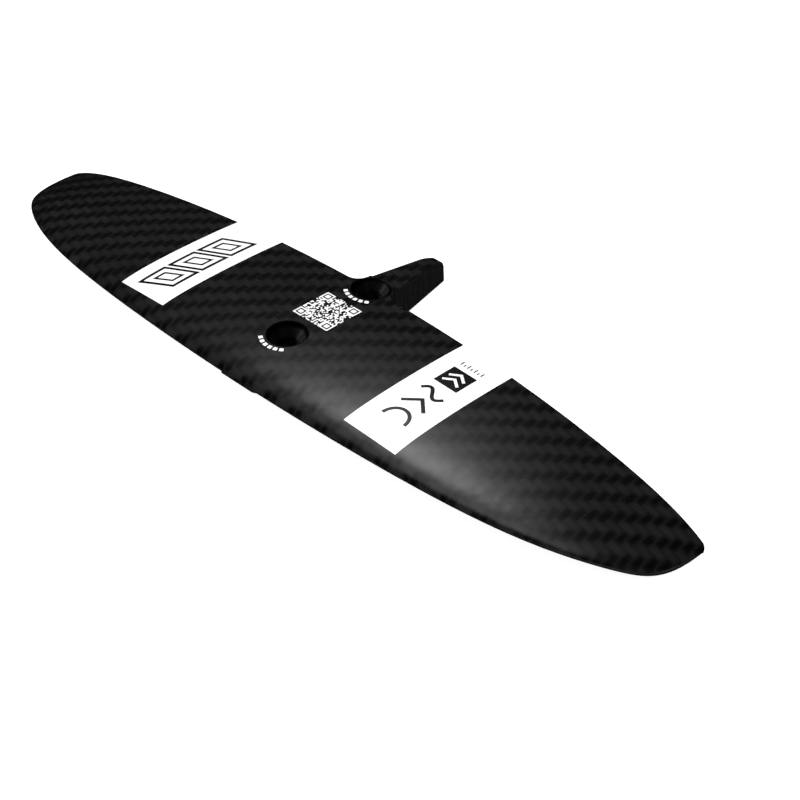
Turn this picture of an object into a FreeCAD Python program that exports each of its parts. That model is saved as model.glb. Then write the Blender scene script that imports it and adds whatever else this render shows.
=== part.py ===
"""Rear stabiliser wing of a hydrofoil: a moulded carbon wing on a mounting pad with a tail fairing.

Frame: +X is the starboard span, +Y points aft, +Z is the side the screws go in from.
The origin is on the seat face, midway between the two screw axes. Lengths are in millimetres.
"""
import FreeCAD, Part
import math
import os

from FreeCAD import Vector

# Planform
half_span = 137.5
leading_y = -39.8            # leading edge at the centre
trailing_y = 17.34           # trailing edge at the centre
leading_sweep = 13.7         # rise of the leading edge that grows as x squared
leading_tip_sweep = 14.1     # extra rise near the tip
leading_tip_power = 7.1
leading_corner = 15.4        # height of the round that turns the leading edge into the tip
leading_corner_power = 57.0
trailing_sweep = 11.68
trailing_power = 2.15
trailing_corner_r = 1.8      # small round between the tip and the trailing edge

# Height of the wing above the seat, and its droop
chord_z = 8.9
droop = 6.7
tip_droop = 4.3
tip_droop_power = 13.5

# Wing section, as fractions of the chord: round nose, flattening, and aft fullness
upper_round = 0.214
upper_flat = 0.143
upper_aft = 0.062
lower_round = 0.150
lower_flat = 0.120
edge_thickness = 0.6

# Laminate
skin = 0.6                   # outer twill skins
hub_skin = 0.8               # skin round the pad and the tail
cap = 0.6                    # spar caps
film = 0.1                   # printed films under the lacquer
parting_fall = 0.09          # how the joint between the skins falls aft of the trailing edge
parting_blend = 4.0          # length over which that fall sets in

# Filled space inside the skins, as chord fractions
fill_front = 0.06
fill_back = 0.80
fill_half_span = 122.0
roving_back = 0.16
cap_front = 0.22
cap_back = 0.50
core_back = 0.66
block_half_width = 14.0

# Pad and tail fairing
pad_half_width = 7.75
nose_y = -38.6
nose_drop = 2.75             # lower edge of the nose, below the chord line
seat_front_y = -28.0         # front end of the flat seat
tail_front_y = 24.5
tail_end_y = 48.0
tail_bottom_z = -4.2
tail_half_width = 5.76       # at tail_gauge_y
tail_gauge_y = 22.5
tail_taper = 0.144           # half width lost per mm
tail_slope = 0.127           # fall of the tail's top per mm
tail_nose_length = 5.0       # the tail's top bends down over its last part
tail_nose_drop = 1.4
tail_nose_r = 14.0
tail_end_r = 3.0             # where the top turns down into the end
tail_edge_r = 0.8            # along the side walls and the underside
nose_corner_r = 2.0
nose_edge_r = 0.6
seat_front_r = 8.0
step_r = 0.8                 # between the seat and the tail's front
pad_bend_r = 60.0
root_r = 4.6                 # plan radius between the trailing edge and the tail
root_plate = 1.6
hub_top = 0.3                # the pad's top stays this far below the chord line
tail_step = 0.05             # the tail's top starts this far below the trailing edge
tail_lap = 2.0               # length of the tail's top that runs forward inside the wing

# Screw holes for countersunk M6 screws
screw_spacing = 35.0
hole_r = 3.2
sink_r = 6.25
seat_wall = 0.6
front_rim_rise = 2.4         # top of the front cone above the chord line

# Printed marks
band_inner_x = 39.7
band_width = 20.1
band_front_y = -32.7
patch_side = 14.8
patch_y = -1.1
mark_inner_r = 7.3
mark_width = 1.3
mark_count = 6
mark_step = 14.0             # degrees between blocks
mark_sweep = 9.0             # degrees filled by each block

far = 60.0                   # taller or longer than anything it cuts
side_margin = 1.1            # the parting surface runs past the tips
strip_margin = 0.03          # chord fraction by which an outer strip overlaps its edge
rows_per_side = 40
columns = 16
fit_error = 0.005


def leading(x):
    """Y of the leading edge at span position x."""
    f = min(abs(x) / half_span, 1.0)
    corner = leading_corner * (1.0 - math.sqrt(1.0 - f ** leading_corner_power))
    return leading_y + leading_sweep * f ** 2 + leading_tip_sweep * f ** leading_tip_power + corner


def trailing(x):
    """Y of the trailing edge at span position x."""
    f = min(abs(x) / half_span, 1.0)
    past = max(abs(x) - half_span + trailing_corner_r, 0.0)
    corner = trailing_corner_r - math.sqrt(max(trailing_corner_r ** 2 - past ** 2, 0.0))
    return trailing_y - trailing_sweep * f ** trailing_power - corner


def chord_height(x):
    """Z of the line from leading to trailing edge at span position x."""
    f = abs(x) / half_span
    return chord_z - droop * f ** 2 - tip_droop * f ** tip_droop_power


def surface_point(x, v, offset=0.0):
    """Point on the wing: v runs from -1 (lower trailing edge) through 0 to 1 (upper trailing edge)."""
    s = v * v
    chord = trailing(x) - leading(x)
    close = 1.0 - s
    if v >= 0:
        z = chord * close * (upper_round * v - upper_flat * s + upper_aft * s * s) - offset
    else:
        z = -chord * close * (lower_round * -v - lower_flat * s) - edge_thickness * s + offset
    return Vector(x, leading(x) + s * chord, chord_height(x) + z)


def spaced(start, end, count):
    return [start + (end - start) * i / (count - 1) for i in range(count)]


def stations(reach):
    """Span positions over the whole wing, closer together towards the tips."""
    limit = math.asin(reach / half_span)
    return [half_span * math.sin(a) for a in spaced(-limit, limit, 2 * rows_per_side + 1)]


def sheet_through(grid):
    """Smooth surface through a grid of points."""
    surface = Part.BSplineSurface()
    surface.approximate(Points=grid, DegMin=3, DegMax=5, Continuity=2,
                        Tolerance=fit_error, ParamType="Uniform")
    return surface


def curve_through(points):
    curve = Part.BSplineCurve()
    curve.interpolate(points)
    return curve.toShape()


def borders(surface):
    """The first and last row of a surface, then its first and last column."""
    u_start, u_end, v_start, v_end = surface.bounds()
    lines = [surface.uIso(u_start), surface.uIso(u_end), surface.vIso(v_start), surface.vIso(v_end)]
    return [line.toShape() for line in lines]


def solid_from(faces):
    shell = Part.Shell(faces)
    shell.sewShape()
    solid = Part.Solid(shell)
    if solid.Volume < 0:
        solid.reverse()
    return solid


def slab(top_grid, bottom_grid):
    """Solid between two sheets of points that have the same rows and columns."""
    top = sheet_through(top_grid)
    bottom = sheet_through(bottom_grid)
    walls = [Part.makeRuledSurface(a, b) for a, b in zip(borders(top), borders(bottom))]
    return solid_from([top.toShape(), bottom.toShape()] + walls)


def wing_body():
    """Outer shape of the wing: one sheet wrapped round the leading edge, closed aft and at the tips."""
    v_range = spaced(-1.0, 1.0, 2 * columns + 1)
    sheet = sheet_through([[surface_point(x, v) for v in v_range] for x in stations(half_span)])
    port_tip, starboard_tip, lower_edge, upper_edge = borders(sheet)
    faces = [sheet.toShape(), Part.makeRuledSurface(lower_edge, upper_edge)]
    for tip in (port_tip, starboard_tip):
        closing = Part.makeLine(tip.valueAt(tip.LastParameter), tip.valueAt(tip.FirstParameter))
        faces.append(Part.Face(Part.Wire([tip, closing])))
    return solid_from(faces)


def fill_body():
    """The space inside the skins."""
    v_range = spaced(math.sqrt(fill_front), math.sqrt(fill_back), columns)
    spots = stations(fill_half_span)
    top = [[surface_point(x, v, skin) for v in v_range] for x in spots]
    bottom = [[surface_point(x, -v, skin) for v in v_range] for x in spots]
    return slab(top, bottom)


def chord_strip(front, back, x_start, x_end):
    """Upright prism over part of the planform, between two chord fractions."""
    def line(fraction):
        spots = spaced(x_start, x_end, rows_per_side)
        return [Vector(x, leading(x) + fraction * (trailing(x) - leading(x)), -far) for x in spots]
    ahead = line(front)
    behind = line(back)
    sides = [Part.makeLine(ahead[i], behind[i]) for i in (0, -1)]
    outline = Part.Wire(Part.__sortEdges__([curve_through(ahead), curve_through(behind)] + sides))
    return Part.Face(outline).extrude(Vector(0, 0, 2 * far))


def box(x_min, x_max, y_min, y_max, z_min=-far, z_max=far):
    return Part.makeBox(x_max - x_min, y_max - y_min, z_max - z_min, Vector(x_min, y_min, z_min))


def rounded_wire(corners):
    """Closed wire of straight runs and tangent arcs, from (point, radius) pairs."""
    count = len(corners)
    edges = []
    ends = []
    for i, (point, radius) in enumerate(corners):
        to_last = (corners[i - 1][0] - point).normalize()
        to_next = (corners[(i + 1) % count][0] - point).normalize()
        if radius == 0:
            ends.append((point, point))
            continue
        half_angle = to_last.getAngle(to_next) / 2
        cut = radius / math.tan(half_angle)
        inward = (to_last + to_next).normalize()
        middle = point + inward * (radius / math.sin(half_angle) - radius)
        start = point + to_last * cut
        end = point + to_next * cut
        edges.append(Part.Arc(start, middle, end).toShape())
        ends.append((start, end))
    for i in range(count):
        edges.append(Part.makeLine(ends[i - 1][1], ends[i][0]))
    return Part.Wire(Part.__sortEdges__(edges))


def tail_width(y):
    """Half width of the tail at y."""
    return tail_half_width - tail_taper * (y - tail_gauge_y)


def tail_top(y):
    """Z of the tail's top at y."""
    return chord_z - tail_step - tail_slope * (y - trailing_y)


def mirrored(right_side):
    """Corners of a symmetric outline from the ones on its starboard side, front to back."""
    left_side = [(Vector(-p.x, p.y, p.z), r) for p, r in reversed(right_side)]
    return right_side + left_side


def hub_body(inset=0.0):
    """Pad and tail fairing: the plan outline and the side outline, each extruded, and what both share."""
    bend_y = tail_gauge_y - (pad_half_width - tail_half_width) / tail_taper
    lap_y = trailing_y - tail_lap
    end_y = tail_end_y - inset
    right_side = [
        (Vector(pad_half_width - inset, nose_y + inset, -far), nose_corner_r),
        (Vector(pad_half_width - inset, bend_y, -far), pad_bend_r),
        (Vector(tail_width(tail_end_y) - inset, end_y, -far), 0),
    ]
    plan = Part.Face(rounded_wire(mirrored(right_side))).extrude(Vector(0, 0, 2 * far))
    side_line = [
        (Vector(-far, nose_y + inset, chord_z - hub_top), 0),
        (Vector(-far, nose_y + inset, chord_z - nose_drop + inset), nose_edge_r),
        (Vector(-far, seat_front_y, inset), seat_front_r),
        (Vector(-far, tail_front_y + inset, inset), step_r),
        (Vector(-far, tail_front_y + inset, tail_bottom_z + inset), 0),
        (Vector(-far, end_y, tail_bottom_z + inset), 0),
        (Vector(-far, end_y, tail_top(end_y) - tail_nose_drop), tail_end_r),
        (Vector(-far, end_y - tail_nose_length, tail_top(end_y - tail_nose_length)), tail_nose_r),
        (Vector(-far, lap_y, tail_top(lap_y)), 0),
        (Vector(-far, lap_y, chord_z - hub_top), 0),
    ]
    side = Part.Face(rounded_wire(side_line)).extrude(Vector(2 * far, 0, 0))
    return plan.common(side)


def rounded_hub():
    """The pad and tail with the edges of the tail rounded."""
    hub = hub_body()
    under = [e for e in hub.Edges if e.BoundBox.ZMax < tail_bottom_z + fit_error]
    aft = [e for e in hub.Edges if e.BoundBox.YMax > tail_front_y + fit_error]
    sides = [e for e in aft if e.BoundBox.ZLength > fit_error]
    return hub.makeFillet(tail_edge_r, sides + under)


def root_web():
    """Thin plate that rounds the corners between the trailing edge and the tail."""
    outer_x = 14.0
    back_y = 23.0
    lap_y = trailing_y - tail_lap
    right_side = [
        (Vector(outer_x, lap_y, -far), 0),
        (Vector(outer_x, trailing(outer_x), -far), 0),
        (Vector(tail_width(trailing_y), trailing(outer_x), -far), root_r),
        (Vector(tail_width(back_y), back_y, -far), 0),
    ]
    plan = Part.Face(rounded_wire(mirrored(right_side))).extrude(Vector(0, 0, 2 * far))
    profile = [
        Vector(-far, lap_y, chord_z - root_plate),
        Vector(-far, lap_y, tail_top(lap_y)),
        Vector(-far, back_y, tail_top(back_y)),
        Vector(-far, back_y, chord_z - root_plate),
    ]
    side = Part.Face(Part.makePolygon(profile + profile[:1])).extrude(Vector(2 * far, 0, 0))
    return plan.common(side)


def parting_z(x, y):
    """Height of the surface where the two skins meet."""
    past = y - trailing_y
    return chord_height(x) - parting_fall * (math.hypot(past, parting_blend) + past)


def above_parting():
    """Everything above the surface where the two skins meet."""
    y_range = spaced(-far, far, columns)
    x_range = [side_margin * x for x in stations(half_span)]
    low = [[Vector(x, y, parting_z(x, y)) for y in y_range] for x in x_range]
    high = [[Vector(p.x, p.y, far) for p in row] for row in low]
    return slab(high, low)


def screw_cutter(y, rim_z, wall=0.0):
    """Turned shape of a countersunk hole, made larger all round by wall."""
    cone_height = sink_r - hole_r
    profile = [
        Vector(0, y, -far),
        Vector(hole_r + wall, y, -far),
        Vector(hole_r + wall, y, rim_z - cone_height),
        Vector(sink_r + wall, y, rim_z),
        Vector(sink_r + wall, y, far),
        Vector(0, y, far),
    ]
    face = Part.Face(Part.makePolygon(profile + profile[:1]))
    return face.revolve(Vector(0, y, 0), Vector(0, 0, 1), 360)


def film_from(solid, region):
    """The top layer of a solid, one film thick, inside an upright region."""
    under = solid.translated(Vector(0, 0, -film))
    return solid.common(region).cut(under)


def arc_blocks(y):
    """Upright blocks along an arc in front of a screw hole."""
    foot = Vector(0, y, -far)
    up = Vector(0, 0, 1)
    start = 270.0 - mark_step * (mark_count - 1) / 2 - mark_sweep / 2
    blocks = []
    for i in range(mark_count):
        wedge = Part.makeCylinder(mark_inner_r + mark_width, 2 * far, foot, up, mark_sweep)
        block = wedge.cut(Part.makeCylinder(mark_inner_r, 2 * far, foot))
        block.rotate(foot, up, start + mark_step * i)
        blocks.append(block)
    return Part.makeCompound(blocks)


def one_solid(shape):
    """The shape as a plain solid, checked to be in one piece."""
    assert len(shape.Solids) == 1, len(shape.Solids)
    return shape.Solids[0]


def build():
    wing = wing_body()
    body = one_solid(wing.fuse([rounded_hub(), root_web()]).removeSplitter())
    fill = fill_body()
    hub_fill = hub_body(hub_skin)

    front_y = -screw_spacing / 2
    back_y = screw_spacing / 2
    rim_z = {front_y: chord_z + front_rim_rise, back_y: tail_top(back_y)}
    seats = []
    sockets = []
    for y in (front_y, back_y):
        socket = screw_cutter(y, rim_z[y], seat_wall)
        seats.append(one_solid(body.common(socket).cut(screw_cutter(y, rim_z[y]))))
        sockets.append(socket)
    drilled = one_solid(body.cut(sockets))

    parts = {"front_screw_seat": seats[0], "rear_screw_seat": seats[1]}

    band_end_x = band_inner_x + band_width
    patch_half = patch_side / 2
    parts["band_film_port"] = film_from(drilled, box(-band_end_x, -band_inner_x, band_front_y, far))
    parts["band_film_starboard"] = film_from(drilled, box(band_inner_x, band_end_x, band_front_y, far))
    parts["patch_film"] = film_from(
        drilled, box(-patch_half, patch_half, patch_y - patch_half, patch_y + patch_half))
    parts["front_screw_mark"] = film_from(drilled, arc_blocks(front_y))
    parts["rear_screw_mark"] = film_from(drilled, arc_blocks(back_y))
    films = [shape for node, shape in parts.items() if "film" in node or "mark" in node]

    upper = drilled.cut(fill).common(above_parting())
    parts["upper_skin"] = upper.cut(films)
    parts["lower_skin"] = drilled.cut([above_parting(), fill, hub_fill])

    cap_zone = fill.common(chord_strip(cap_front, cap_back, -fill_half_span, fill_half_span)).cut(sockets)
    lift = Vector(0, 0, cap)
    parts["upper_spar_cap"] = cap_zone.cut(fill.translated(-lift))
    parts["lower_spar_cap"] = cap_zone.cut(fill.translated(lift))
    caps = [parts["upper_spar_cap"], parts["lower_spar_cap"]]

    for side, sign in (("port", -1), ("starboard", 1)):
        ends = sorted((sign * block_half_width, sign * fill_half_span))
        roving = chord_strip(fill_front - strip_margin, roving_back, *ends)
        edge = chord_strip(core_back, fill_back + strip_margin, *ends)
        middle = chord_strip(roving_back, core_back, *ends)
        parts["leading_roving_" + side] = fill.common(roving)
        parts["trailing_filler_" + side] = fill.common(edge)
        parts["core_" + side] = fill.common(middle).cut(caps)

    centre = fill.common(box(-block_half_width, block_half_width, -far, far))
    block = centre.fuse(hub_fill.common(box(-far, far, -far, tail_front_y)))
    parts["centre_block"] = block.cut(sockets + caps + [upper])
    parts["tail_core"] = hub_fill.common(box(-far, far, tail_front_y, far)).cut(upper)
    return parts


os.makedirs("parts", exist_ok=True)
for node, shape in build().items():
    print(node, len(shape.Solids), round(shape.Volume, 1), shape.isValid())
    shape.exportStep("parts/" + node + ".step")
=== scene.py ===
"""Looks for the hydrofoil stabiliser wing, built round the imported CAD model. Lengths are in metres."""
import math
import random

import bmesh
import bpy
from mathutils import Matrix, Quaternion, Vector
from mathutils.bvhtree import BVHTree


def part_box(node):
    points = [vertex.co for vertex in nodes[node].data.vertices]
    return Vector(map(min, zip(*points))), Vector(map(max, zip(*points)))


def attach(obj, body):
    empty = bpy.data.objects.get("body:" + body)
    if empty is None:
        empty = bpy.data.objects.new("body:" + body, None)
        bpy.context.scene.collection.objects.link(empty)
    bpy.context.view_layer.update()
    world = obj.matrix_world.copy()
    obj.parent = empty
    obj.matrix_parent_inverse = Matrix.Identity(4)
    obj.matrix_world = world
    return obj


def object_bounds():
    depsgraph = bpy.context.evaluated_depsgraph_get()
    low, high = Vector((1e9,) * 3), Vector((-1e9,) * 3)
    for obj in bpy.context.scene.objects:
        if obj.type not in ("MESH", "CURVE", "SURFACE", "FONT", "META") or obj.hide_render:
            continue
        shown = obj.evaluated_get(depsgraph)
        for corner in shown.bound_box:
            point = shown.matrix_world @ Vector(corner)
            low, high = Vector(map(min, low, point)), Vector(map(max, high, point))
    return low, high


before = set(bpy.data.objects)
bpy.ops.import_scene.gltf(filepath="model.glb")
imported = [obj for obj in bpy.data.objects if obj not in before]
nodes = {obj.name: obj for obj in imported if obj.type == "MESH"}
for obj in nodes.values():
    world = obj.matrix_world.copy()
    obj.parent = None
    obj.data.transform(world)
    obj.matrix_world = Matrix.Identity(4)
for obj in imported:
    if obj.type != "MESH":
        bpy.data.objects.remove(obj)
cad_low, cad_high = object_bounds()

MM = 0.001

# Camera: angles in degrees, azimuth 0 being -Y and 90 being +X, and lens and sensor in millimetres
camera_place = Vector((0.31484, -0.27324, 0.32802))
camera_azimuth = 46.331
camera_elevation = 40.406
camera_roll = -2.931
camera_lens = 77.80
camera_sensor = 36.0
camera_clip = (0.01, 20.0)

# Weave: width of the tows that run chordwise (warp) and spanwise (weft), and where the pattern starts
warp_tow = 2.50 * MM
weft_tow = 2.56 * MM
weave_x = 3.5 * MM
weave_y = 1.02 * MM

# How far the tows stray from straight, as (noise scale, reach): a slow sway and a quick ripple
tow_sway = (18.0, 0.55 * MM)
tow_ripple = (260.0, 0.8 * MM)

# Brightness of each kind of tow, the weft painted lighter than the warp as reflection off its fibres, and its
# factor at a tow's edge and on its crown, painted shade and highlight of the tow's curve
warp_painted_reflection_level = 0.0017
weft_painted_reflection_level = 0.0098
warp_painted_shading_edge_to_crown = (3.3, 0.5)
weft_painted_shading_edge_to_crown = (0.62, 1.06)

# Brightness of the tail's side walls, and how much of their weave the streaks cover
wall_level = 0.0058
wall_cover = 0.94

# Shape of a tow where it shows: how flat its middle is, and how sharply and how far its ends dip
middle_flatness = 2.6
end_flatness = 3.0
end_dip = 0.85

# Noise scales along and across a fibre, in the cloth, on the side walls and in the bare laminate
cloth_grain = (350.0, 9000.0)
wall_grain = (25.0, 900.0)
laminate_grain = (60.0, 5000.0)

# Noise scales of the mottling on smooth surfaces, and the roughness of ink
fine_speckle = 600.0
soft_cloud = 60.0
ink_roughness = 0.35

# Screw seats: half the distance between their axes, the radii where painted shade darkens the rim and where
# the lacquer starts, the painted highlights streaked down the cone as (angle round the axis in radians,
# tightness, strength), and the brightness of the cone, of its painted highlights and of the lacquered edge
seat_half_spacing = 17.5 * MM
seat_rim_painted_shade = (5.1 * MM, 5.6 * MM)
seat_lacquer = (6.4 * MM, 6.55 * MM)
seat_painted_highlights = ((1.0, 3.0, 0.42), (1.38, 60.0, 0.9), (0.85, 50.0, 0.35), (2.7, 30.0, 0.1), (4.0, 40.0, 0.15))
cone_level = 0.0012
painted_highlight_level = 0.016
seat_lacquer_level = 0.006

# Prints: how far ink lies above its film, the longest edge of its mesh, the distance within which vertices
# merge, the sharpest mitre, and the height from which the film is looked for
ink_lift = 0.02 * MM
line_step = 0.6 * MM
merge_distance = 0.001 * MM
mitre_limit = 0.35
ray_height = 1.0

# Block patch: cells along a side and along a corner square, the share of white cells, the gap round a block
# as a part of its cell, and the seed of the draw
patch_cells = 29
corner_cells = 7
patch_share = 0.45
patch_gap = 0.02
patch_seed = 7

# Floor, and how strongly it, the world and the dome glow
floor_half_side = 6.0
floor_gap = 0.2 * MM
floor_tone = 0.5
floor_glow = 0.85
world_glow = 1.1
dome_radius = 8.0
dome_glow = 0.006

# Screens that only reflections see: their distance, colour and half size in spreads, and for each its azimuth
# and elevation in degrees, its turn and both spreads in radians, and its strength
glow_distance = 5.0
glow_tint = (1.0, 0.97, 0.98, 1.0)
screen_reach = 3.0
glows = {
    "glow_main": (227.5, 53.55, 4.293, 0.138, 0.092, 3.7),
    "glow_wide": (277.5, 77.44, -2.636, 0.31, 0.207, 1.15),
    "glow_front": (40.0, 12.0, 0.0, 0.40, 0.12, 0.6),
    "glow_side": (105.0, 8.0, 0.0, 0.30, 0.10, 0.5),
}

# Softbox: its azimuth and elevation in degrees, and its power in watts
softbox_direction = (285.0, 38.0)
softbox_distance = 1.1
softbox_side = 0.5
softbox_power = 9.0

white = (1.0, 1.0, 1.0, 1.0)


# ---------------------------------------------------------------- node helpers

class Graph:
    """A material's node tree, with short calls for the nodes used here."""

    def __init__(self, name, shader="ShaderNodeBsdfPrincipled"):
        self.material = bpy.data.materials.new(name)
        self.material.use_nodes = True
        self.tree = self.material.node_tree
        self.tree.nodes.clear()
        self.shader = self.add(shader)
        self.output = self.add("ShaderNodeOutputMaterial")
        self.link(self.shader.outputs[0], self.output.inputs["Surface"])

    def add(self, kind, **settings):
        node = self.tree.nodes.new(kind)
        for key, value in settings.items():
            setattr(node, key, value)
        return node

    def link(self, source, target):
        self.tree.links.new(source, target)

    def feed(self, target, value):
        if isinstance(value, bpy.types.NodeSocket):
            self.link(value, target)
        else:
            target.default_value = value

    def math(self, operation, *values):
        node = self.add("ShaderNodeMath", operation=operation)
        for socket, value in zip(node.inputs, values):
            self.feed(socket, value)
        return node.outputs[0]

    def product(self, value, *others):
        for other in others:
            value = self.math("MULTIPLY", value, other)
        return value

    def from_middle(self, value):
        """0 halfway along a stretch that runs from 0 to 1, and 1 at both its ends."""
        return self.math("ABSOLUTE", self.math("SUBTRACT", self.math("MULTIPLY", value, 2.0), 1.0))

    def mix(self, factor, a, b):
        node = self.add("ShaderNodeMix", data_type="FLOAT")
        self.feed(node.inputs[0], factor)
        self.feed(node.inputs[2], a)
        self.feed(node.inputs[3], b)
        return node.outputs[0]

    def mix_colour(self, factor, a, b):
        node = self.add("ShaderNodeMix", data_type="RGBA")
        self.feed(node.inputs[0], factor)
        self.feed(node.inputs[6], a)
        self.feed(node.inputs[7], b)
        return node.outputs[2]

    def place(self):
        return self.add("ShaderNodeTexCoord").outputs["Object"]

    def split(self, vector):
        node = self.add("ShaderNodeSeparateXYZ")
        self.feed(node.inputs[0], vector)
        return node.outputs[0], node.outputs[1], node.outputs[2]

    def join(self, x, y, z):
        node = self.add("ShaderNodeCombineXYZ")
        for socket, value in zip(node.inputs, (x, y, z)):
            self.feed(socket, value)
        return node.outputs[0]

    def noise(self, vector, scale, detail=2.0, rough=0.5):
        node = self.add("ShaderNodeTexNoise")
        self.feed(node.inputs["Vector"], vector)
        node.inputs["Scale"].default_value = scale
        node.inputs["Detail"].default_value = detail
        node.inputs["Roughness"].default_value = rough
        return node.outputs[0]

    def grain(self, parts, scales, rough=0.6):
        """Noise stretched by a scale of its own along each part."""
        spot = [self.math("MULTIPLY", part, scale) for part, scale in zip(parts, scales)]
        return self.noise(self.join(*spot), 1.0, 3.0, rough)

    def random(self, x, y):
        node = self.add("ShaderNodeTexWhiteNoise", noise_dimensions="2D")
        self.link(self.join(x, y, 0.0), node.inputs["Vector"])
        return node.outputs["Value"]

    def ramp(self, value, low, high, out_low=0.0, out_high=1.0):
        node = self.add("ShaderNodeMapRange")
        for socket, number in zip(node.inputs, (value, low, high, out_low, out_high)):
            self.feed(socket, number)
        return node.outputs[0]

    def vary(self, noise, out_low, out_high):
        """A noise, whose values lie mostly between 0.3 and 0.7, spread over a range."""
        return self.ramp(noise, 0.3, 0.7, out_low, out_high)

    def bump(self, height, distance, strength=1.0):
        node = self.add("ShaderNodeBump")
        node.inputs["Distance"].default_value = distance
        node.inputs["Strength"].default_value = strength
        self.link(height, node.inputs["Height"])
        return node.outputs[0]

    def set(self, **values):
        for key, value in values.items():
            self.feed(self.shader.inputs[key.replace("_", " ")], value)


# ---------------------------------------------------------------- materials

def cloth_axes(g):
    """Coordinates along the cloth: the plan on faces that look up or down, and the wall itself on walls."""
    x, y, z = g.split(g.place())
    normal = g.add("ShaderNodeNewGeometry").outputs["Normal"]
    nx, ny, nz = (g.math("ABSOLUTE", n) for n in g.split(normal))
    side_wall = g.math("MULTIPLY", g.math("GREATER_THAN", nx, nz), g.math("GREATER_THAN", nx, ny))
    steepness = 3.0
    steep = g.math("GREATER_THAN", ny, g.math("MULTIPLY", nz, steepness))
    end_wall = g.math("MULTIPLY", steep, g.math("GREATER_THAN", ny, nx))
    across = g.mix(side_wall, x, z)
    along = g.mix(end_wall, y, z)
    return across, along, side_wall


def tow_drift(g):
    """How far the tows lie from straight."""
    drifts = []
    for scale, reach in (tow_sway, tow_ripple):
        noise = g.noise(g.place(), scale, 1.0)
        drifts.append(g.math("MULTIPLY", g.math("SUBTRACT", noise, 0.5), reach))
    return g.math("ADD", *drifts)


def weave(g, across, along):
    """The pattern: whether a warp tow is on top, the numbers of both tows, and the height of the top one."""
    drift = tow_drift(g)
    u = g.math("DIVIDE", g.math("SUBTRACT", g.math("ADD", across, drift), weave_x), warp_tow)
    v = g.math("DIVIDE", g.math("SUBTRACT", g.math("ADD", along, drift), weave_y), weft_tow)
    column = g.math("FLOOR", u)
    row = g.math("FLOOR", v)
    u_part = g.math("SUBTRACT", u, column)
    v_part = g.math("SUBTRACT", v, row)

    # the pattern repeats after four tows, and warp is on top in the first two steps of it
    step = g.math("FLOORED_MODULO", g.math("SUBTRACT", column, row), 4.0)
    warp = g.math("LESS_THAN", step, 1.5)
    odd = g.math("FLOORED_MODULO", step, 2.0)

    # each tow shows for the width of two others: how far along that stretch a point lies
    warp_run = g.math("DIVIDE", g.math("ADD", v_part, g.math("SUBTRACT", 1.0, odd)), 2.0)
    weft_run = g.math("DIVIDE", g.math("ADD", u_part, odd), 2.0)
    to_edge = g.from_middle(g.mix(warp, v_part, u_part))
    to_end = g.from_middle(g.mix(warp, weft_run, warp_run))
    rounding = g.math("SUBTRACT", 1.0, g.math("POWER", to_edge, middle_flatness))
    dip = g.math("MULTIPLY", g.math("POWER", to_end, end_flatness), end_dip)
    crown = g.math("MULTIPLY", rounding, g.math("SUBTRACT", 1.0, dip))
    return warp, column, row, crown


def cloth_level(g, warp, column, row, crown, fibre):
    """Brightness of the cloth. It changes with the fibres, from tow to tow and from place to place. The weft
    is painted lighter than the warp as reflection off its fibres, and the change from a tow's edge to its
    crown is painted shade and highlight of the tow's curve."""
    row_draw, column_draw = 3.0, 11.0
    tow_tone = g.mix(warp, g.random(row, row_draw), g.random(column, column_draw))
    area_tone = g.noise(g.place(), 45.0, 2.0)
    # painted shade and highlight: each tow darkens or lightens from its edge to its crown
    crown_painted_shading = g.mix(warp, g.ramp(crown, 0.0, 1.0, *weft_painted_shading_edge_to_crown),
                       g.ramp(crown, 0.0, 1.0, *warp_painted_shading_edge_to_crown))
    tone = g.product(g.vary(fibre, 0.72, 1.28), g.ramp(tow_tone, 0.0, 1.0, 0.86, 1.14),
                     g.vary(area_tone, 0.85, 1.15), crown_painted_shading)
    # painted reflection: the weft's level is set lighter than the warp's
    return g.math("MULTIPLY", g.mix(warp, weft_painted_reflection_level, warp_painted_reflection_level), tone)


def streaked_wall_level(g):
    """Brightness of the tail's side walls, with upright streaks."""
    _, y, z = g.split(g.place())
    along_fibre, across_fibre = wall_grain
    fibre = g.grain((0.0, y, z), (1.0, across_fibre, along_fibre))
    return g.math("MULTIPLY", wall_level, g.vary(fibre, 0.55, 1.45))


def twill():
    """Two by two twill of carbon tows under clear lacquer. Little of it shows on the tail's side walls."""
    g = Graph("twill_lacquered")
    across, along, side_wall = cloth_axes(g)
    warp, column, row, crown = weave(g, across, along)
    along_fibre, across_fibre = cloth_grain
    warp_layer, weft_layer = 0.0, 7.0
    warp_fibre = g.grain((across, along, warp_layer), (across_fibre, along_fibre, 1.0))
    weft_fibre = g.grain((across, along, weft_layer), (along_fibre, across_fibre, 1.0))
    fibre = g.mix(warp, weft_fibre, warp_fibre)
    level = cloth_level(g, warp, column, row, crown, fibre)
    level = g.mix(g.math("MULTIPLY", side_wall, wall_cover), level, streaked_wall_level(g))

    relief = g.math("ADD", g.math("MULTIPLY", crown, 0.6), g.math("MULTIPLY", fibre, 0.15))
    haze = g.noise(g.place(), 160.0, 3.0)
    peel = g.noise(g.place(), 240.0, 1.0)
    lacquer_relief = g.math("ADD", peel, g.math("MULTIPLY", haze, 0.2))
    g.set(Base_Color=g.join(level, level, g.math("MULTIPLY", level, 1.03)),
          Roughness=g.math("ADD", g.mix(warp, 0.38, 0.46), g.math("MULTIPLY", fibre, 0.12)),
          Normal=g.bump(relief, 0.012 * MM, 0.5),
          Specular_IOR_Level=0.12,
          Coat_Weight=1.0,
          Coat_IOR=1.5,
          Coat_Roughness=g.ramp(haze, 0.35, 0.65, 0.075, 0.11),
          Coat_Normal=g.bump(lacquer_relief, 0.006 * MM, 0.4))
    return g.material


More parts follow.
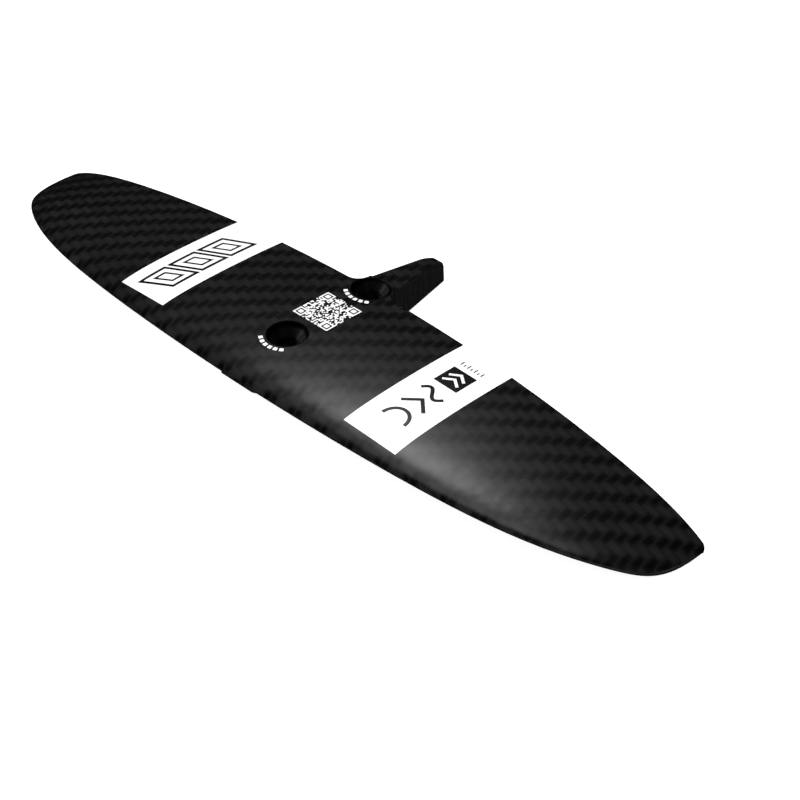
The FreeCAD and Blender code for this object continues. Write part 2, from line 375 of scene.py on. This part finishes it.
def printed(name, level, specular=0.5):
    """Lacquered ink with fine mottling."""
    g = Graph(name)
    speckle = g.noise(g.place(), fine_speckle, 3.0)
    cloud = g.noise(g.place(), soft_cloud, 2.0)
    tone = g.math("MULTIPLY", g.vary(speckle, 0.97, 1.02), g.vary(cloud, 0.98, 1.01))
    shade = g.math("MULTIPLY", tone, level)
    g.set(Base_Color=g.join(shade, shade, shade),
          Roughness=g.vary(cloud, ink_roughness * 0.85, ink_roughness * 1.15),
          Normal=g.bump(speckle, 0.004 * MM, 0.35),
          Specular_IOR_Level=specular,
          Coat_Weight=1.0,
          Coat_Roughness=g.vary(cloud, 0.08, 0.13))
    return g.material


def countersunk():
    """Smooth dark cone with soft painted highlights streaked down it, painted shade darkening its black rim,
    and a lacquered edge. Both seats share it.
    """
    g = Graph("seat_countersunk")
    x, y, _ = g.split(g.place())
    aft = g.math("SUBTRACT", y, g.math("MULTIPLY", g.math("SIGN", y), seat_half_spacing))
    angle = g.math("ARCTAN2", aft, x)
    radius = g.math("SQRT", g.math("ADD", g.math("MULTIPLY", x, x), g.math("MULTIPLY", aft, aft)))
    # painted highlights: bright streaks at set angles round the cone stand in for reflected light
    painted_sheen = 0.0
    for turn, tightness, strength in seat_painted_highlights:
        facing = g.math("MAXIMUM", g.math("COSINE", g.math("SUBTRACT", angle, turn)), 0.0)
        painted_sheen = g.math("ADD", painted_sheen, g.math("MULTIPLY", g.math("POWER", facing, tightness), strength))
    speckle = g.noise(g.place(), fine_speckle, 3.0)
    # painted shade: the cone darkens towards its outer edge, at the rim
    rim_painted_shade = g.ramp(radius, *seat_rim_painted_shade, 1.0, 0.1)
    lacquer = g.ramp(radius, *seat_lacquer)
    level = g.math("ADD", g.math("MULTIPLY", painted_sheen, painted_highlight_level), cone_level)
    level = g.mix(lacquer, g.product(level, rim_painted_shade, g.vary(speckle, 0.9, 1.1)), seat_lacquer_level)
    g.set(Base_Color=g.join(level, level, level),
          Roughness=g.vary(speckle, 0.24, 0.3),
          Specular_IOR_Level=g.math("MULTIPLY", rim_painted_shade, 0.3),
          Coat_Weight=lacquer,
          Coat_Roughness=0.09,
          Normal=g.bump(speckle, 0.004 * MM, 0.35))
    return g.material


def unidirectional(name, level):
    """Bare cured fibre that all runs along the span."""
    g = Graph(name)
    along_fibre, across_fibre = laminate_grain
    fibre = g.grain(g.split(g.place()), (along_fibre, across_fibre, across_fibre), 0.5)
    tone = g.vary(fibre, level * 0.6, level * 1.5)
    g.set(Base_Color=g.join(tone, tone, tone),
          Roughness=g.vary(fibre, 0.35, 0.6),
          Normal=g.bump(fibre, 0.03 * MM))
    return g.material


def cellular():
    """Closed-cell structural foam."""
    g = Graph("foam_core")
    cells = g.add("ShaderNodeTexVoronoi")
    cells.inputs["Scale"].default_value = 2200.0
    g.link(g.place(), cells.inputs["Vector"])
    edge = cells.outputs["Distance"]
    pale, dark = (0.74, 0.68, 0.52, 1.0), (0.52, 0.46, 0.33, 1.0)
    g.set(Base_Color=g.mix_colour(g.ramp(edge, 0.0, 0.6), pale, dark),
          Roughness=0.85,
          Normal=g.bump(edge, 0.1 * MM))
    return g.material


twill_look = twill()
seat_look = countersunk()
white_look = printed("film_white", 0.95)
black_look = printed("film_black", 0.003, specular=0.1)
fibre_look = unidirectional("fibre_unidirectional", 0.02)
block_look = unidirectional("laminate_block", 0.028)
foam_look = cellular()

looks = {
    "upper_skin": twill_look, "lower_skin": twill_look,
    "front_screw_seat": seat_look, "rear_screw_seat": seat_look,
    "band_film_port": white_look, "band_film_starboard": white_look,
    "front_screw_mark": white_look, "rear_screw_mark": white_look,
    "patch_film": black_look,
    "upper_spar_cap": fibre_look, "lower_spar_cap": fibre_look,
    "leading_roving_port": fibre_look, "leading_roving_starboard": fibre_look,
    "trailing_filler_port": fibre_look, "trailing_filler_starboard": fibre_look,
    "centre_block": block_look, "tail_core": block_look,
    "core_port": foam_look, "core_starboard": foam_look,
}
for name, look in looks.items():
    slots = nodes[name].data.materials
    for i in range(len(slots)):
        slots[i] = look


# ---------------------------------------------------------------- printed graphics

def add_object(name, data):
    """A new object of the scene, with a mesh, a light or a camera in it."""
    obj = bpy.data.objects.new(name, data)
    bpy.context.scene.collection.objects.link(obj)
    return obj


class Ink:
    """Flat printed shapes laid on the surface of a film."""

    def __init__(self, name, film, look, slot, lift=ink_lift):
        self.name = name
        self.lift = lift
        self.look = look
        self.slot = slot
        self.mesh = bmesh.new()
        self.surface = BVHTree.FromObject(nodes[film], bpy.context.evaluated_depsgraph_get())

    def vertex(self, spot):
        """A new vertex straight above or below a point of the plan, just off the film."""
        down = Vector((0, 0, -1))
        hit, normal, _, _ = self.surface.ray_cast(Vector((spot.x, spot.y, ray_height)), down)
        return self.mesh.verts.new(hit + normal * self.lift)

    def patch(self, corner, along, across):
        """A parallelogram, cut small enough to follow the surface."""
        n = max(1, math.ceil(along.length / line_step))
        m = max(1, math.ceil(across.length / line_step))
        grid = []
        for i in range(n + 1):
            spots = [corner + along * (i / n) + across * (j / m) for j in range(m + 1)]
            grid.append([self.vertex(spot) for spot in spots])
        for i in range(n):
            for j in range(m):
                ring = (grid[i][j], grid[i + 1][j], grid[i + 1][j + 1], grid[i][j + 1])
                self.mesh.faces.new(ring)

    def stroke(self, points, width, closed=False):
        """A mitred line of even width through points of the plan."""
        count = len(points)
        rows = []
        for i, point in enumerate(points):
            back = points[i - 1] if i or closed else None
            ahead = points[(i + 1) % count] if i + 1 < count or closed else None
            into = (point - back).normalized() if back is not None else (ahead - point).normalized()
            out = (ahead - point).normalized() if ahead is not None else into
            side_in = Vector((-into.y, into.x))
            side_out = Vector((-out.y, out.x))
            side = (side_in + side_out).normalized()
            side *= width / 2 / max(side.dot(side_in), mitre_limit)
            rows.append((point - side, point + side))
        spans = count if closed else count - 1
        for i in range(spans):
            a, b = rows[i], rows[(i + 1) % count]
            n = max(1, math.ceil((b[0] - a[0]).length / line_step))
            line = []
            for k in range(n + 1):
                pair = (a[0].lerp(b[0], k / n), a[1].lerp(b[1], k / n))
                line.append([self.vertex(spot) for spot in pair])
            for k in range(n):
                self.mesh.faces.new((line[k][0], line[k + 1][0], line[k + 1][1], line[k][1]))

    def finish(self):
        data = bpy.data.meshes.new(self.name)
        bmesh.ops.remove_doubles(self.mesh, verts=self.mesh.verts, dist=merge_distance)
        bmesh.ops.recalc_face_normals(self.mesh, faces=self.mesh.faces)
        for face in self.mesh.faces:
            if face.normal.z < 0:
                face.normal_flip()
            face.smooth = True
        self.mesh.to_mesh(data)
        self.mesh.free()
        data.materials.append(self.look)
        piece = add_object(self.name, data)
        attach(piece, "root")


def plan(x, y):
    """A point of the plan, from millimetres."""
    return Vector((x * MM, y * MM))


def corner_square_is_white(from_side, from_end):
    """Whether a cell of a corner square is white: it is in the ring, or in the block in the middle."""
    ring = (0, corner_cells - 1)
    block = range(2, corner_cells - 2)
    return from_side in ring or from_end in ring or (from_side in block and from_end in block)


def block_patch():
    """White blocks scattered on the black square, with a ringed square in each corner."""
    low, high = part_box("patch_film")
    cell = (high.x - low.x) / patch_cells
    margin = Vector((cell, cell)) * patch_gap
    block = cell * (1 - 2 * patch_gap)
    chance = random.Random(patch_seed)
    ink = Ink("patch_blocks", "patch_film", white_look, "white_film")
    last = patch_cells - 1
    for i in range(patch_cells):
        for j in range(patch_cells):
            from_side = min(i, last - i)
            from_end = min(j, last - j)
            fill = chance.random() < patch_share
            if from_side < corner_cells and from_end < corner_cells:
                fill = corner_square_is_white(from_side, from_end)
            if fill:
                corner = Vector((low.x + i * cell, low.y + j * cell))
                ink.patch(corner + margin, Vector((block, 0)), Vector((0, block)))
    ink.finish()


def pane(middle, reach, start, length, lean):
    """Corners of a slanted pane. Its starboard side lies further aft by the lean."""
    end = start + length
    return [plan(middle - reach, start), plan(middle + reach, start + lean),
            plan(middle + reach, end + lean), plan(middle - reach, end)]


def port_graphic():
    """Outlined slanted panes in a row along the band, each with a smaller one inside."""
    low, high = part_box("band_film_port")
    middle = (low.x + high.x) / 2 / MM
    first, pitch, count = -29.3, 11.9, 3
    reach, length, lean, thick = 5.0, 9.8, 5.0, 1.1
    inner_reach, inner_length, inner_lean, thin = 2.6, 4.0, 2.8, 0.85
    inset = (length + lean - inner_length - inner_lean) / 2
    ink = Ink("port_band_outline", "band_film_port", black_look, "black_film")
    for k in range(count):
        start = first + k * pitch
        ink.stroke(pane(middle, reach, start, length, lean), thick * MM, closed=True)
        ink.stroke(pane(middle, inner_reach, start + inset, inner_length, inner_lean), thin * MM, closed=True)
    ink.finish()


def chevron(middle, reach, start, rise):
    """Points of a chevron whose tip lies aft of its ends."""
    return [plan(middle - reach, start), plan(middle, start + rise), plan(middle + reach, start)]


def starboard_graphic():
    """An arc, a chevron and a wave in thin line, a black square with a double chevron, and a row of ticks."""
    low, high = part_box("band_film_starboard")
    middle = (low.x + high.x) / 2 / MM
    lines = Ink("starboard_band_lines", "band_film_starboard", black_look, "black_film")
    arc_y, arc_reach, arc_depth = -23.2, 4.2, 5.0
    chevron_y, chevron_rise = -15.6, 4.2
    wave_y, wave_height = -7.4, 1.9
    reach, thick = 4.4, 1.2
    half_turn = [math.pi * k / 20 for k in range(21)]
    arc = [plan(middle + arc_reach * math.cos(a), arc_y + arc_depth * math.sin(a)) for a in half_turn]
    full_turn = [math.pi * k / 12 for k in range(25)]
    wave = [plan(middle + reach * (a / math.pi - 1), wave_y + wave_height * math.sin(a)) for a in full_turn]
    for points in (arc, chevron(middle, reach, chevron_y, chevron_rise), wave):
        lines.stroke(points, thick * MM)

    square_y, square_side = 2.2, 8.9
    corner = plan(middle - square_side / 2, square_y - square_side / 2)
    lines.patch(corner, plan(square_side, 0), plan(0, square_side))

    tick_start, tick_ends = 8.6, (10.4, 9.6)
    tick_pitch, tick_width = 1.3, 0.42
    for k in range(-3, 4):
        x = middle + k * tick_pitch
        lines.stroke([plan(x, tick_start), plan(x, tick_ends[(k + 1) % 2])], tick_width * MM)
    lines.finish()

    mark = Ink("starboard_square_mark", "band_film_starboard", white_look, "white_film", 2 * ink_lift)
    mark_reach, mark_rise, mark_thick = 2.9, 2.2, 0.9
    for offset in (-2.4, 0.4):
        mark.stroke(chevron(middle, mark_reach, square_y + offset, mark_rise), mark_thick * MM)
    mark.finish()


block_patch()
port_graphic()
starboard_graphic()


# ---------------------------------------------------------------- camera, floor and light

def aim(obj, direction):
    """Turns a camera or a light to look along a direction."""
    obj.rotation_mode = "QUATERNION"
    obj.rotation_quaternion = direction.to_track_quat("-Z", "Y")


def toward(azimuth, elevation):
    """Direction from the object, azimuth 0 being -Y and 90 being +X, in degrees."""
    a, e = math.radians(azimuth), math.radians(elevation)
    return Vector((math.sin(a) * math.cos(e), -math.cos(a) * math.cos(e), math.sin(e)))


def add_rectangle(name, half_x, half_y, z, material):
    data = bpy.data.meshes.new(name)
    corners = [(-half_x, -half_y, z), (half_x, -half_y, z), (half_x, half_y, z), (-half_x, half_y, z)]
    data.from_pydata(corners, [], [(0, 1, 2, 3)])
    data.materials.append(material)
    return add_object(name, data)


def add_camera():
    data = bpy.data.cameras.new("camera")
    data.lens = camera_lens
    data.sensor_width = camera_sensor
    data.clip_start, data.clip_end = camera_clip
    camera = add_object("camera", data)
    camera.location = camera_place
    back = toward(camera_azimuth, camera_elevation)
    aim(camera, -back)
    camera.rotation_quaternion = Quaternion(back, math.radians(camera_roll)) @ camera.rotation_quaternion
    bpy.context.scene.camera = camera


def add_floor():
    """A wide pale floor that glows, so that shadows on it stay faint."""
    g = Graph("floor_pale")
    g.set(Base_Color=(floor_tone, floor_tone, floor_tone, 1.0),
          Roughness=0.9,
          Specular_IOR_Level=0.0,
          Emission_Color=white,
          Emission_Strength=floor_glow)
    floor = add_rectangle("floor", floor_half_side, floor_half_side, cad_low.z - floor_gap, g.material)
    floor.visible_glossy = False


def only_in_reflections(obj):
    obj.visible_camera = False
    obj.visible_diffuse = False
    obj.visible_shadow = False


def add_dim_dome():
    """Dark surroundings that only reflections see."""
    g = Graph("dome_dim", "ShaderNodeEmission")
    g.set(Color=white, Strength=dome_glow)
    data = bpy.data.meshes.new("dome")
    shape = bmesh.new()
    bmesh.ops.create_icosphere(shape, subdivisions=3, radius=dome_radius)
    shape.to_mesh(data)
    shape.free()
    data.materials.append(g.material)
    only_in_reflections(add_object("dome", data))


def soft_light(name, spreads, strength):
    """Light that is brightest in the middle and fades out evenly. What lies behind it shines through."""
    g = Graph(name, "ShaderNodeEmission")
    squares = []
    for part, spread in zip(g.split(g.place()), spreads):
        scaled = g.math("DIVIDE", part, spread)
        squares.append(g.math("MULTIPLY", scaled, scaled))
    fade = g.math("EXPONENT", g.math("MULTIPLY", g.math("ADD", *squares), -0.5))
    g.set(Color=glow_tint, Strength=g.math("MULTIPLY", fade, strength))
    both = g.add("ShaderNodeAddShader")
    g.link(g.shader.outputs[0], both.inputs[0])
    g.link(g.add("ShaderNodeBsdfTransparent").outputs[0], both.inputs[1])
    g.link(both.outputs[0], g.output.inputs["Surface"])
    return g.material


def add_soft_glow(name, azimuth, elevation, turn, spread_x, spread_y, strength):
    """A far screen of soft light that faces the object."""
    spreads = (spread_x * glow_distance, spread_y * glow_distance)
    half_sizes = (screen_reach * spread for spread in spreads)
    screen = add_rectangle(name, *half_sizes, 0, soft_light(name, spreads, strength))
    out = toward(azimuth, elevation)
    right = Vector((0, 0, 1)).cross(out).normalized()
    up = out.cross(right)
    turned_right = right * math.cos(turn) + up * math.sin(turn)
    turned_up = up * math.cos(turn) - right * math.sin(turn)
    screen.matrix_world = Matrix((turned_right, turned_up, out)).transposed().to_4x4()
    screen.location = out * glow_distance
    only_in_reflections(screen)


def add_softbox():
    """A square area light that lights matt surfaces and doesn't show in the lacquer."""
    data = bpy.data.lights.new("softbox_port", "AREA")
    data.shape = "SQUARE"
    data.size = softbox_side
    data.energy = softbox_power
    box = add_object("softbox_port", data)
    direction = toward(*softbox_direction)
    box.location = direction * softbox_distance
    aim(box, -direction)
    box.visible_camera = False
    box.visible_glossy = False


def add_world():
    """White surroundings that light everything and don't show in the lacquer."""
    world = bpy.data.worlds.new("studio")
    world.use_nodes = True
    shade = world.node_tree.nodes["Background"]
    shade.inputs["Color"].default_value = white
    shade.inputs["Strength"].default_value = world_glow
    bpy.context.scene.world = world
    world.cycles_visibility.glossy = False


bpy.context.scene.view_settings.view_transform = "Standard"
add_camera()
add_floor()
add_dim_dome()
add_world()
for name, settings in glows.items():
    add_soft_glow(name, *settings)
add_softbox()
